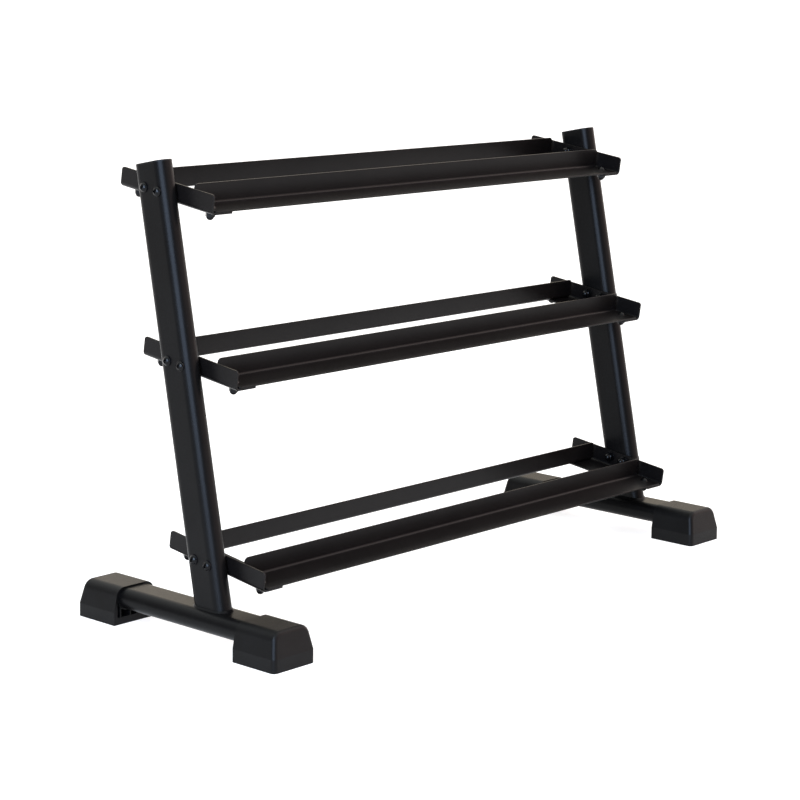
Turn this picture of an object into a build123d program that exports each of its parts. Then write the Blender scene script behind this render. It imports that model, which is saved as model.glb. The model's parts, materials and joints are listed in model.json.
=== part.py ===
from build123d import *
import math
import os

# Three-tier rack for dumbbells, in millimetres.
# X runs along the rack, -Y is the side it is loaded from, +Z is up.
# The origin is on the floor, in the middle of the rack.

# ---- side frames ---------------------------------------------------------
FRAME_X = 630.0          # middle plane of each side frame
TUBE_WIDE = 80.0         # flat-oval tube, long way
TUBE_THIN = 40.0         # flat-oval tube, short way
TUBE_WALL = 2.0
BASE_LENGTH = 504.0
BASE_BOTTOM = 28.0
BASE_TOP = BASE_BOTTOM + TUBE_THIN
LEAN = 11.5              # uprights lean back by this many degrees
POST_LENGTH = 822.0      # along the upright's axis, end cap included
POST_FOOT_Y = -55.0      # upright's axis where it meets the base tube
WELD_LEG = 3.5
WELD_SINK = 0.6          # the bead reaches down round the base tube's shoulder
WELD_TAPER = 40.0

# ---- end cap of an upright -----------------------------------------------
CAP_PLATE = 3.0
CAP_EDGE = 1.2
CAP_DEPTH = 18.0
CAP_CLEAR = 0.3
CAP_SKIRT = 2.5

# ---- moulded feet --------------------------------------------------------
FOOT_LENGTH = 105.0
FOOT_WIDTH = 104.0
FOOT_HEIGHT = 71.0
FOOT_LIP = 25.0
FOOT_END_Y = 264.5       # outer face of the lip
FOOT_END_SLOPE = 9.0     # the outer end leans in by this much above the lip
FOOT_SIDE_SLOPE = 9.2    # each side leans in by this much above the lip
FOOT_TOP_RADIUS = 20.0
FOOT_END_RADIUS = 9.0
SOCKET_CLEAR = 0.2
SOCKET_RING = 2.2        # wall under the tube
FOOT_WALL = 3.5
FOOT_RIBS_X = (-36.0, -12.0, 12.0, 36.0)
FOOT_RIB = 2.6
FOOT_SILL = 13.5         # height of the closed part below the open ribs
FOOT_CORE = 9.5          # depth of the pockets under the foot

# ---- tiers: distance up the upright's axis, from the base tube's top ------
TIERS = {"top": 747.0, "middle": 427.0, "bottom": 62.0}
TILT = 8.0               # tiers slope down to the front

# ---- end brackets: plate against the upright, flange inward ---------------
PLATE_THICK = 4.0
PLATE_HEIGHT = 38.0
FLANGE_WIDE = 73.0
BRACKET_FRONT = 120.0
BRACKET_REAR = 132.0
BRACKET_BEND = 5.0       # inner bend radius
PLATE_CORNER = 6.0
FLANGE_CLIP = 22.0       # the flange's two inner corners, cut at 45 degrees
SHEET_EDGE = 0.6         # rounding of the coated sheet edges

# ---- angle rails -----------------------------------------------------------
RAIL_LENGTH = 1200.0
RAIL_THICK = 3.0
RAIL_UP = 41.0
RAIL_FLAT = 64.0
RAIL_BEND = 4.0          # inner bend radius
RAIL_UP_CORNER = 8.0
RAIL_FLAT_CORNER = 5.0

# ---- M10 fasteners ---------------------------------------------------------
SHANK_R = 5.0
HOLE_R = 5.25
HEAD_R = 8.75
HEAD_HIGH = 5.5
HEX_SOCKET = 6.0
HEX_SOCKET_DEEP = 3.1
WASHER_R = 10.0
WASHER_THICK = 2.0
NUT_FLATS = 16.0
NUT_HEX_HIGH = 8.5
NUT_HIGH = 15.0
NUT_DOME_R = 7.4
NUT_BORE_R = 5.05
NUT_BORE_DEEP = 11.0
POST_BOLT_Y = (-13.0, 23.0)      # along a bracket, + to the back
POST_BOLT_UP = 24.0              # above a bracket's underside
POST_BOLT_LENGTH = 55.0
RAIL_BOLT_X = FRAME_X - TUBE_THIN / 2 - 25.0
RAIL_BOLT_Y = (-90.0, 105.0)     # front rail, rear rail
RAIL_BOLT_LENGTH = 17.0

POST_INNER_X = FRAME_X - TUBE_THIN / 2
POST_OUTER_X = FRAME_X + TUBE_THIN / 2
TUBE_MID_Z = (BASE_BOTTOM + BASE_TOP) / 2
SIDES = {"left": -1, "right": 1}


def edges_at(shape, axis, position, along):
    """Straight edges that run along one axis and lie at a position on another."""
    return (
        shape.edges()
        .filter_by(along)
        .filter_by_position(axis, position - 0.01, position + 0.01)
    )


def place_post(shape, side):
    """Moves a shape from the upright's own frame (Z along its axis) to its place."""
    return Pos(side * FRAME_X, POST_FOOT_Y, BASE_TOP) * Rot(-LEAN, 0, 0) * shape


def place_tier(shape, name):
    """Moves a shape from a tier's own frame (Y back, Z up from the flange) to its place."""
    up = TIERS[name]
    lean = math.radians(LEAN)
    y = POST_FOOT_Y + up * math.sin(lean)
    z = BASE_TOP + up * math.cos(lean)
    return Pos(0, y, z) * Rot(TILT, 0, 0) * shape


# ---- tubes -----------------------------------------------------------------
def base_outer(side, grow=0.0):
    """Solid flat-oval bar along Y, grown by a distance all round."""
    outline = SlotOverall(TUBE_WIDE + 2 * grow, TUBE_THIN + 2 * grow)
    bar = extrude(Plane.XZ * outline, BASE_LENGTH / 2, both=True)
    return Pos(side * FRAME_X, 0, TUBE_MID_Z) * bar


def base_tube(side):
    return base_outer(side) - base_outer(side, grow=-TUBE_WALL)


def post_outer(grow=0.0, start=-30.0, end=POST_LENGTH - CAP_PLATE):
    """Solid flat-oval bar along Z, its long way along Y, grown by a distance all round."""
    outline = Rot(0, 0, 90) * SlotOverall(TUBE_WIDE + 2 * grow, TUBE_THIN + 2 * grow)
    return Pos(0, 0, start) * extrude(outline, end - start)


def upright(side):
    tube = place_post(post_outer() - post_outer(grow=-TUBE_WALL), side)
    tube -= Pos(side * FRAME_X, POST_FOOT_Y, BASE_TOP - 50) * Box(200, 200, 100)
    for name in TIERS:
        for y in POST_BOLT_Y:
            hole = extrude(Plane.YZ * Circle(HOLE_R), TUBE_THIN, both=True)
            tube -= place_tier(Pos(side * FRAME_X, y, POST_BOLT_UP) * hole, name)
    return tube


def upright_weld(side):
    """Bead round the foot of an upright, where it stands on the base tube."""
    high = WELD_LEG + WELD_SINK
    long_way = TUBE_WIDE / math.cos(math.radians(LEAN)) + 2 * high
    outline = Rot(0, 0, 90) * SlotOverall(long_way, TUBE_THIN + 2 * high)
    bead = extrude(outline, high, taper=WELD_TAPER)
    bead = Pos(side * FRAME_X, POST_FOOT_Y, BASE_TOP - WELD_SINK) * bead
    return bead - base_outer(side) - place_post(post_outer(start=-60), side)


def upright_cap(side):
    plate = post_outer(start=POST_LENGTH - CAP_PLATE, end=POST_LENGTH)
    plate = fillet(plate.faces().sort_by(Axis.Z)[-1].edges(), CAP_EDGE)
    top = POST_LENGTH - CAP_PLATE
    fit = -TUBE_WALL - CAP_CLEAR
    plug = post_outer(grow=fit, start=top - CAP_DEPTH, end=top)
    plug -= post_outer(grow=fit - CAP_SKIRT, start=top - CAP_DEPTH, end=top)
    return place_post(plate + plug, side)


# ---- feet ------------------------------------------------------------------
def foot_shell():
    """Outer body of a foot at the front end: open end at y = 0, closed end at -Y."""
    half = FOOT_WIDTH / 2
    lip = Pos(0, -FOOT_LENGTH / 2, FOOT_LIP / 2) * Box(FOOT_WIDTH, FOOT_LENGTH, FOOT_LIP)
    lip = fillet(edges_at(lip, Axis.Y, -FOOT_LENGTH, Axis.Z), FOOT_END_RADIUS)
    low = Pos(0, -FOOT_LENGTH / 2, FOOT_LIP) * Rectangle(FOOT_WIDTH, FOOT_LENGTH)
    top_long = FOOT_LENGTH - FOOT_END_SLOPE
    high = Pos(0, -top_long / 2, FOOT_HEIGHT) * Rectangle(
        2 * (half - FOOT_SIDE_SLOPE), top_long
    )
    body = loft([low, high], ruled=True)
    sides = edges_at(body, Axis.Z, FOOT_HEIGHT, Axis.Y)
    body = fillet(sides, FOOT_TOP_RADIUS)
    end_face = body.faces().sort_by(Axis.Y)[0]
    rim = [e for e in end_face.edges() if e.center().Z > FOOT_LIP + 0.5]
    body = fillet(rim, FOOT_END_RADIUS)
    return lip + body


def foot_cells():
    """Start and end in X of each cell between a foot's ribs."""
    walls = [-FOOT_WIDTH / 2 + FOOT_WALL]
    for x in FOOT_RIBS_X:
        walls += [x - FOOT_RIB / 2, x + FOOT_RIB / 2]
    walls.append(FOOT_WIDTH / 2 - FOOT_WALL)
    return list(zip(walls[0::2], walls[1::2]))


def foot_front():
    """Front foot on X = 0: a socket for the tube, with open cells below and under it."""
    depth = BASE_LENGTH / 2 - FOOT_END_Y + FOOT_LENGTH
    tube = SlotOverall(TUBE_WIDE + 2 * SOCKET_CLEAR, TUBE_THIN)
    socket = Pos(0, 0, TUBE_MID_Z) * extrude(Plane.XZ * tube, depth)
    sleeve = SlotOverall(TUBE_WIDE + 2 * SOCKET_RING, TUBE_THIN + 2 * SOCKET_RING)
    ring = Pos(0, 0, TUBE_MID_Z) * extrude(Plane.XZ * sleeve, FOOT_LENGTH)
    lean_in = FOOT_SIDE_SLOPE * (TUBE_MID_Z - FOOT_LIP) / (FOOT_HEIGHT - FOOT_LIP)
    inside = 2 * (FOOT_WIDTH / 2 - FOOT_WALL - lean_in)
    open_part = Pos(0, -depth / 2, TUBE_MID_Z / 2) * Box(inside, depth, TUBE_MID_Z)
    pocket_long = (FOOT_LENGTH - FOOT_RIB) / 2 - FOOT_WALL
    pocket_y = (FOOT_RIB + pocket_long) / 2

    foot = foot_shell() - socket
    for start, end in foot_cells():
        middle = (start + end) / 2
        cell = Box(end - start, depth, TUBE_MID_Z - FOOT_SILL)
        cell = Pos(middle, -depth / 2, (FOOT_SILL + TUBE_MID_Z) / 2) * cell
        foot -= (cell & open_part) - ring
        for offset in (-pocket_y, pocket_y):
            pocket = Box(end - start, pocket_long, FOOT_CORE)
            foot -= Pos(middle, offset - FOOT_LENGTH / 2, FOOT_CORE / 2) * pocket
    return Pos(0, FOOT_LENGTH - FOOT_END_Y, 0) * foot


# ---- sheet-metal angles ------------------------------------------------------
def angle_section(flat, up, thick, bend):
    """L outline in XY: one leg along +X from the corner, the other along +Y."""
    outline = Polygon(
        (0, 0), (flat, 0), (flat, thick), (thick, thick), (thick, up), (0, up), align=None
    )
    corners = outline.vertices()
    inner = [v for v in corners if abs(v.X - thick) + abs(v.Y - thick) < 0.01]
    outline = fillet(inner, bend)
    outer = [v for v in outline.vertices() if v.X + v.Y < 0.01]
    return fillet(outer, bend + thick)


def soften(sheet, thick):
    """Rounds the long edges of a bent sheet: every edge not across its thickness."""
    keep = [e for e in sheet.edges() if abs(e.length - thick) > 0.05]
    return fillet(keep, SHEET_EDGE)


def bracket_left():
    """Left bracket in a tier's frame."""
    section = angle_section(FLANGE_WIDE, PLATE_HEIGHT, PLATE_THICK, BRACKET_BEND)
    long = BRACKET_FRONT + BRACKET_REAR
    bar = Pos(-POST_INNER_X, BRACKET_REAR, 0) * extrude(Plane.XZ * section, long)
    top = edges_at(bar, Axis.Z, PLATE_HEIGHT, Axis.X)
    bar = fillet(top, PLATE_CORNER)
    inner = edges_at(bar, Axis.X, -POST_INNER_X + FLANGE_WIDE, Axis.Z)
    bar = chamfer(inner, FLANGE_CLIP)
    bar = soften(bar, PLATE_THICK)
    for y in POST_BOLT_Y:
        hole = extrude(Plane.YZ * Circle(HOLE_R), 10, both=True)
        bar -= Pos(-POST_INNER_X, y, POST_BOLT_UP) * hole
    for y in RAIL_BOLT_Y:
        bar -= Pos(-RAIL_BOLT_X, y, 0) * Cylinder(HOLE_R, 20)
    return bar


def rail_front():
    """Front rail in a tier's frame: upright leg at the back, flat leg forward."""
    section = angle_section(RAIL_FLAT, RAIL_UP, RAIL_THICK, RAIL_BEND)
    across = Plane(origin=(0, 0, 0), x_dir=(0, -1, 0), z_dir=(-1, 0, 0))
    bar = extrude(across * section, RAIL_LENGTH / 2, both=True)
    bar = Pos(0, RAIL_FLAT - BRACKET_FRONT, PLATE_THICK) * bar
    top = edges_at(bar, Axis.Z, PLATE_THICK + RAIL_UP, Axis.Y)
    bar = fillet(top, RAIL_UP_CORNER)
    nose = edges_at(bar, Axis.Y, -BRACKET_FRONT, Axis.Z)
    bar = fillet(nose, RAIL_FLAT_CORNER)
    return soften(bar, RAIL_THICK)


def drill_rail(bar, y):
    for side in SIDES.values():
        bar -= Pos(side * RAIL_BOLT_X, y, PLATE_THICK) * Cylinder(HOLE_R, 20)
    return bar


# ---- fasteners, along +Z from the seat of the head ---------------------------
def bolt(length):
    """Button-head bolt: the head above z = 0, the shank below."""
    sphere_r = (HEAD_R**2 + HEAD_HIGH**2) / (2 * HEAD_HIGH)
    dome = Pos(0, 0, HEAD_HIGH - sphere_r) * Sphere(sphere_r)
    head = dome & (Pos(0, 0, HEAD_HIGH / 2) * Cylinder(HEAD_R + 1, HEAD_HIGH))
    recess = Pos(0, 0, HEAD_HIGH - HEX_SOCKET_DEEP) * extrude(
        RegularPolygon(HEX_SOCKET / 2, 6, major_radius=False), HEX_SOCKET_DEEP
    )
    shank = Pos(0, 0, -length / 2) * Cylinder(SHANK_R, length)
    tip = shank.faces().sort_by(Axis.Z)[0].edges()
    return head - recess + chamfer(tip, 0.8)


def washer():
    """Plain washer under z = 0."""
    ring = Cylinder(WASHER_R, WASHER_THICK) - Cylinder(HOLE_R, WASHER_THICK)
    circles = ring.edges().filter_by(GeomType.CIRCLE)
    rims = [e for e in circles if e.radius > WASHER_R - 0.1]
    return Pos(0, 0, -WASHER_THICK / 2) * fillet(rims, 0.3)


def cap_nut():
    """Domed nut whose seat is at z = 0 and whose dome points down."""
    hexagon = RegularPolygon(NUT_FLATS / 2, 6, major_radius=False)
    body = Pos(0, 0, -NUT_HEX_HIGH) * extrude(hexagon, NUT_HEX_HIGH)
    corner_r = NUT_FLATS / 2 / math.cos(math.radians(30))
    cone = Cone(NUT_DOME_R + 0.2, NUT_DOME_R + 0.2 + 2 * NUT_HEX_HIGH, NUT_HEX_HIGH)
    body = body & (Pos(0, 0, -NUT_HEX_HIGH / 2) * cone)
    body = body & (Pos(0, 0, -NUT_HEX_HIGH / 2) * Cylinder(corner_r, NUT_HEX_HIGH))
    neck_end = NUT_HIGH - NUT_DOME_R
    neck = Pos(0, 0, -neck_end / 2) * Cylinder(NUT_DOME_R, neck_end)
    dome = Pos(0, 0, -neck_end) * Sphere(NUT_DOME_R)
    bore = Pos(0, 0, -NUT_BORE_DEEP / 2) * Cylinder(NUT_BORE_R, NUT_BORE_DEEP)
    return body + neck + dome - bore


def post_set(item, offset):
    """One item at each of a tier's four upright joints; its +Z points outward."""
    placed = []
    for side in SIDES.values():
        for y in POST_BOLT_Y:
            turn = Rot(0, side * 90, 0)
            placed.append(Pos(side * offset, y, POST_BOLT_UP) * turn * item)
    return placed


def rail_set(item, height):
    """One item at each of a tier's four rail joints; its +Z points up."""
    placed = []
    for side in SIDES.values():
        for y in RAIL_BOLT_Y:
            placed.append(Pos(side * RAIL_BOLT_X, y, height) * item)
    return placed


def save(shape, node):
    shape.label = node
    export_step(shape, f"parts/{node}.step")


def main():
    os.makedirs("parts", exist_ok=True)
    foot = foot_front()
    rear_foot = mirror(foot, about=Plane.XZ)
    for label, side in SIDES.items():
        save(base_tube(side), f"base_tube_{label}")
        save(upright(side), f"upright_{label}")
        save(upright_weld(side), f"upright_weld_{label}")
        save(upright_cap(side), f"upright_cap_{label}")
        save(Pos(side * FRAME_X, 0, 0) * foot, f"foot_front_{label}")
        save(Pos(side * FRAME_X, 0, 0) * rear_foot, f"foot_rear_{label}")

    left = bracket_left()
    brackets = {"left": left, "right": mirror(left, about=Plane.YZ)}
    front = rail_front()
    rear = mirror(front, about=Plane.XZ)
    rear = Pos(0, BRACKET_REAR - BRACKET_FRONT, 0) * rear
    rails = {
        "front": drill_rail(front, RAIL_BOLT_Y[0]),
        "rear": drill_rail(rear, RAIL_BOLT_Y[1]),
    }
    head_seat_x = POST_OUTER_X + WASHER_THICK
    nut_seat_x = POST_INNER_X - PLATE_THICK - WASHER_THICK
    fasteners = {
        "post_bolts": post_set(bolt(POST_BOLT_LENGTH), head_seat_x),
        "post_washers": post_set(washer(), head_seat_x)
        + post_set(washer(), POST_INNER_X - PLATE_THICK),
        "post_nuts": post_set(cap_nut(), nut_seat_x),
        "rail_bolts": rail_set(bolt(RAIL_BOLT_LENGTH), PLATE_THICK + RAIL_THICK),
        "rail_washers": rail_set(washer(), 0),
        "rail_nuts": rail_set(cap_nut(), -WASHER_THICK),
    }
    for tier in TIERS:
        for label, shape in brackets.items():
            save(place_tier(shape, tier), f"bracket_{tier}_{label}")
        for label, shape in rails.items():
            save(place_tier(shape, tier), f"rail_{tier}_{label}")
        for kind, items in fasteners.items():
            group = Compound(children=[place_tier(item, tier) for item in items])
            save(group, f"{kind}_{tier}")


main()
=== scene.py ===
import bpy
import bmesh
import json
import math
from mathutils import Matrix, Vector

# ---- floor and camera, in metres and degrees --------------------------------
FLOOR_HALF = 150.0
FLOOR_DROP = 0.0005      # the floor lies just under the feet
FLOOR_GLOW = 0.76        # the floor glows a little, so that shadows stay faint
LIGHT_AIM = (0.0, 0.0, 0.45)     # the middle of the rack, which the lamps face
CAMERA_AT = (-3.486396, -3.078852, 1.257071)
CAMERA_YAW, CAMERA_PITCH, CAMERA_ROLL = 47.928, 6.749, 0.779
CAMERA_SHIFT = -0.2125
SENSOR_MM = 36.0
LENS_MM = 105.05862

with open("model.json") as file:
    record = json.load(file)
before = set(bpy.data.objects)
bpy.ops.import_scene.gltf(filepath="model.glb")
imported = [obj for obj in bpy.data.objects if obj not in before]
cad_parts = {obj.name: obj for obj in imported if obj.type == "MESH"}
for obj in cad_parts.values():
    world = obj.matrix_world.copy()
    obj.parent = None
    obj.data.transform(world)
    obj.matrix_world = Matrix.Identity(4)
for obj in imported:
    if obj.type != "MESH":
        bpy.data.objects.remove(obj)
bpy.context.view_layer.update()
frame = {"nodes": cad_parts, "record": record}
nodes = frame["nodes"]

# ---- shader helpers ---------------------------------------------------------


def new_material(name):
    material = bpy.data.materials.new(name)
    material.use_nodes = True
    tree = material.node_tree
    shader = tree.nodes["Principled BSDF"]
    coords = tree.nodes.new("ShaderNodeTexCoord")
    return material, tree, shader, coords.outputs["Object"]


def noise(tree, coords, scale, detail=3.0, rough=0.5):
    node = tree.nodes.new("ShaderNodeTexNoise")
    node.inputs["Scale"].default_value = scale
    node.inputs["Detail"].default_value = detail
    node.inputs["Roughness"].default_value = rough
    tree.links.new(coords, node.inputs["Vector"])
    return node.outputs["Fac"]


def ramp(tree, fac, low, high, start, end):
    node = tree.nodes.new("ShaderNodeMapRange")
    node.inputs["From Min"].default_value = low
    node.inputs["From Max"].default_value = high
    node.inputs["To Min"].default_value = start
    node.inputs["To Max"].default_value = end
    tree.links.new(fac, node.inputs["Value"])
    return node.outputs["Result"]


def blend_colour(tree, fac, first, second):
    node = tree.nodes.new("ShaderNodeMix")
    node.data_type = "RGBA"
    tree.links.new(fac, node.inputs["Factor"])
    for socket, value in ((node.inputs[6], first), (node.inputs[7], second)):
        if isinstance(value, tuple):
            socket.default_value = (*value, 1.0)
        else:
            tree.links.new(value, socket)
    return node.outputs[2]


def bump(tree, height, strength, distance, under=None):
    node = tree.nodes.new("ShaderNodeBump")
    node.inputs["Strength"].default_value = strength
    node.inputs["Distance"].default_value = distance
    tree.links.new(height, node.inputs["Height"])
    if under is not None:
        tree.links.new(under, node.inputs["Normal"])
    return node.outputs["Normal"]


def coated_steel(name, dark, light, rough, specular):
    """Satin powder coat: faint cloudiness, fine orange peel and a few dust specks."""
    material, tree, shader, coords = new_material(name)
    cloud = noise(tree, coords, 9.0, 4.0, 0.6)
    fine = noise(tree, coords, 420.0, 3.0, 0.6)
    peel = noise(tree, coords, 1500.0, 2.0, 0.5)
    colour = blend_colour(tree, ramp(tree, cloud, 0.35, 0.65, 0.0, 1.0), dark, light)
    specks = ramp(tree, noise(tree, coords, 240.0, 1.0, 0.4), 0.74, 0.80, 0.0, 0.5)
    lint = tuple(min(1.0, 3.2 * c) for c in light)
    colour = blend_colour(tree, specks, colour, lint)
    tree.links.new(colour, shader.inputs["Base Color"])
    tree.links.new(
        ramp(tree, fine, 0.3, 0.7, rough - 0.05, rough + 0.06), shader.inputs["Roughness"]
    )
    shader.inputs["Specular IOR Level"].default_value = specular
    wavy = bump(tree, noise(tree, coords, 160.0, 2.0, 0.5), 0.06, 0.0005)
    tree.links.new(bump(tree, peel, 0.14, 0.0002, wavy), shader.inputs["Normal"])
    return material


def moulded_plastic(name, dark, light, rough, specular):
    """Matte moulding: fine spark-eroded grain with faint flow marks."""
    material, tree, shader, coords = new_material(name)
    flow = noise(tree, coords, 22.0, 3.0, 0.55)
    grain = noise(tree, coords, 1100.0, 3.0, 0.7)
    colour = blend_colour(tree, ramp(tree, flow, 0.35, 0.65, 0.0, 1.0), dark, light)
    tree.links.new(colour, shader.inputs["Base Color"])
    tree.links.new(
        ramp(tree, grain, 0.3, 0.7, rough - 0.04, rough + 0.08), shader.inputs["Roughness"]
    )
    shader.inputs["Specular IOR Level"].default_value = specular
    tree.links.new(bump(tree, grain, 0.4, 0.0004), shader.inputs["Normal"])
    return material


def gloss_steel(name, dark, light, rough, specular):
    """Black plated hardware: glossy, with a faint drawn texture."""
    material, tree, shader, coords = new_material(name)
    drawn = noise(tree, coords, 700.0, 2.0, 0.5)
    colour = blend_colour(tree, ramp(tree, drawn, 0.35, 0.65, 0.0, 1.0), dark, light)
    tree.links.new(colour, shader.inputs["Base Color"])
    tree.links.new(
        ramp(tree, drawn, 0.3, 0.7, rough - 0.04, rough + 0.05), shader.inputs["Roughness"]
    )
    shader.inputs["Specular IOR Level"].default_value = specular
    tree.links.new(bump(tree, drawn, 0.08, 0.0002), shader.inputs["Normal"])
    return material


# These colours are far below those of real coats: with low specular levels they give the
# rack its deep black in this bright studio.
frame_coat = coated_steel(
    "frame_coat", (0.0018, 0.0017, 0.0017), (0.0028, 0.0026, 0.0026), 0.32, 0.078
)
shelf_coat = coated_steel(
    "shelf_coat", (0.0027, 0.0022, 0.0021), (0.0040, 0.0033, 0.0031), 0.33, 0.112
)
foot_plastic = moulded_plastic(
    "foot_plastic", (0.0017, 0.0016, 0.0016), (0.0024, 0.0023, 0.0023), 0.38, 0.105
)
cap_plastic = moulded_plastic(
    "cap_plastic", (0.0028, 0.0028, 0.0029), (0.0040, 0.0040, 0.0041), 0.42, 0.14
)
fastener_black = gloss_steel(
    "fastener_black", (0.0012, 0.0012, 0.0014), (0.0019, 0.0019, 0.0022), 0.11, 0.13
)

FINISH = {
    "frame_coat": frame_coat,
    "shelf_coat": shelf_coat,
    "foot_plastic": foot_plastic,
    "cap_plastic": cap_plastic,
    "fastener_black": fastener_black,
}

for entry in frame["record"]["subparts"]:
    piece = nodes[entry["node"]]
    piece.data.materials.clear()
    piece.data.materials.append(FINISH[entry["material_slot"]])

# ---- floor ------------------------------------------------------------------
mesh = bpy.data.meshes.new("floor")
grid = bmesh.new()
bmesh.ops.create_grid(grid, x_segments=8, y_segments=8, size=FLOOR_HALF)
grid.to_mesh(mesh)
grid.free()
floor = bpy.data.objects.new("floor", mesh)
bpy.context.collection.objects.link(floor)
floor.location = (0.0, 0.0, -FLOOR_DROP)
floor_mat, tree, shader, coords = new_material("floor_pale")
patchy = ramp(tree, noise(tree, coords, 3.0), 0.3, 0.7, 0.0, 1.0)
pale = blend_colour(tree, patchy, (0.44, 0.44, 0.44), (0.46, 0.46, 0.46))
tree.links.new(pale, shader.inputs["Base Color"])
shader.inputs["Emission Color"].default_value = (1.0, 0.98, 0.96, 1.0)
shader.inputs["Emission Strength"].default_value = FLOOR_GLOW
shader.inputs["Roughness"].default_value = 0.8
shader.inputs["Specular IOR Level"].default_value = 0.2
mesh.materials.append(floor_mat)

# ---- light ------------------------------------------------------------------
world = bpy.data.worlds.new("studio")
bpy.context.scene.world = world
world.use_nodes = True
wt = world.node_tree
wt.nodes.clear()
out = wt.nodes.new("ShaderNodeOutputWorld")
back = wt.nodes.new("ShaderNodeBackground")
wt.links.new(back.outputs[0], out.inputs["Surface"])
direction = wt.nodes.new("ShaderNodeTexCoord").outputs["Generated"]


def soft_patch(under, toward, start, end, colour):
    """Adds a soft patch of light on the studio walls round one direction."""
    dot = wt.nodes.new("ShaderNodeVectorMath")
    dot.operation = "DOT_PRODUCT"
    dot.inputs[1].default_value = Vector(toward).normalized()
    wt.links.new(direction, dot.inputs[0])
    fac = ramp(wt, dot.outputs["Value"], start, end, 0.0, 1.0)
    fac.node.interpolation_type = "SMOOTHSTEP"
    patch = blend_colour(wt, fac, (0.0, 0.0, 0.0), colour)
    total = wt.nodes.new("ShaderNodeVectorMath")
    total.operation = "ADD"
    wt.links.new(patch, total.inputs[0])
    if isinstance(under, tuple):
        total.inputs[1].default_value = under
    else:
        wt.links.new(under, total.inputs[1])
    return total.outputs["Vector"]


walls = soft_patch((0.10, 0.10, 0.10), (0.0, 0.0, 1.0), 0.30, 1.00, (1.60, 1.75, 1.80))
walls = soft_patch(walls, (0.72, -0.64, 0.20), 0.30, 0.95, (2.15, 1.66, 1.56))
walls = soft_patch(walls, (-0.72, 0.66, 0.20), 0.30, 0.95, (0.12, 0.10, 0.08))
walls = soft_patch(walls, (0.73, 0.66, 0.15), 0.86, 0.99, (1.20, 1.03, 0.80))
walls = soft_patch(walls, (0.10, 0.98, 0.12), 0.72, 0.97, (1.70, 1.62, 1.55))
walls = soft_patch(walls, (0.98, 0.05, 0.15), 0.80, 0.98, (0.80, 0.77, 0.74))
wt.links.new(walls, back.inputs["Color"])


def area_light(name, toward, distance, wide, high, watts, colour):
    """Adds a soft lamp in one direction from the rack, facing it."""
    lamp = bpy.data.lights.new(name, "AREA")
    lamp.shape = "RECTANGLE"
    lamp.size, lamp.size_y = wide, high
    lamp.energy = watts
    lamp.color = colour
    holder = bpy.data.objects.new(name, lamp)
    bpy.context.collection.objects.link(holder)
    outward = Vector(toward).normalized()
    holder.location = Vector(LIGHT_AIM) + distance * outward
    holder.rotation_euler = outward.to_track_quat("Z", "Y").to_euler()


area_light("side_window", (-0.88, -0.47, 0.22), 4.5, 2.9, 2.4, 330.0, (0.56, 0.72, 1.00))
area_light("high_window", (-0.79, -0.25, 0.56), 4.5, 0.8, 0.8, 95.0, (0.70, 0.84, 1.00))
area_light("overhead", (0.15, 0.25, 1.00), 3.2, 3.0, 3.0, 26.0, (1.00, 0.85, 0.60))

# ---- camera -----------------------------------------------------------------
yaw, pitch, roll = (math.radians(a) for a in (CAMERA_YAW, CAMERA_PITCH, CAMERA_ROLL))
level = Vector((math.sin(yaw), math.cos(yaw), 0.0))
forward = math.cos(pitch) * level - math.sin(pitch) * Vector((0.0, 0.0, 1.0))
level_right = Vector((math.cos(yaw), -math.sin(yaw), 0.0))
level_up = level_right.cross(forward)
right = math.cos(roll) * level_right + math.sin(roll) * level_up
up = -math.sin(roll) * level_right + math.cos(roll) * level_up
lens = bpy.data.cameras.new("camera")
lens.sensor_width = SENSOR_MM
lens.lens = LENS_MM
lens.shift_y = CAMERA_SHIFT
lens.clip_start, lens.clip_end = 0.05, 500.0
camera = bpy.data.objects.new("camera", lens)
bpy.context.collection.objects.link(camera)
camera.matrix_world = Matrix.Translation(CAMERA_AT) @ Matrix(
    (right, up, -forward)
).transposed().to_4x4()
scene = bpy.context.scene
scene.camera = camera
scene.view_settings.view_transform = "Standard"
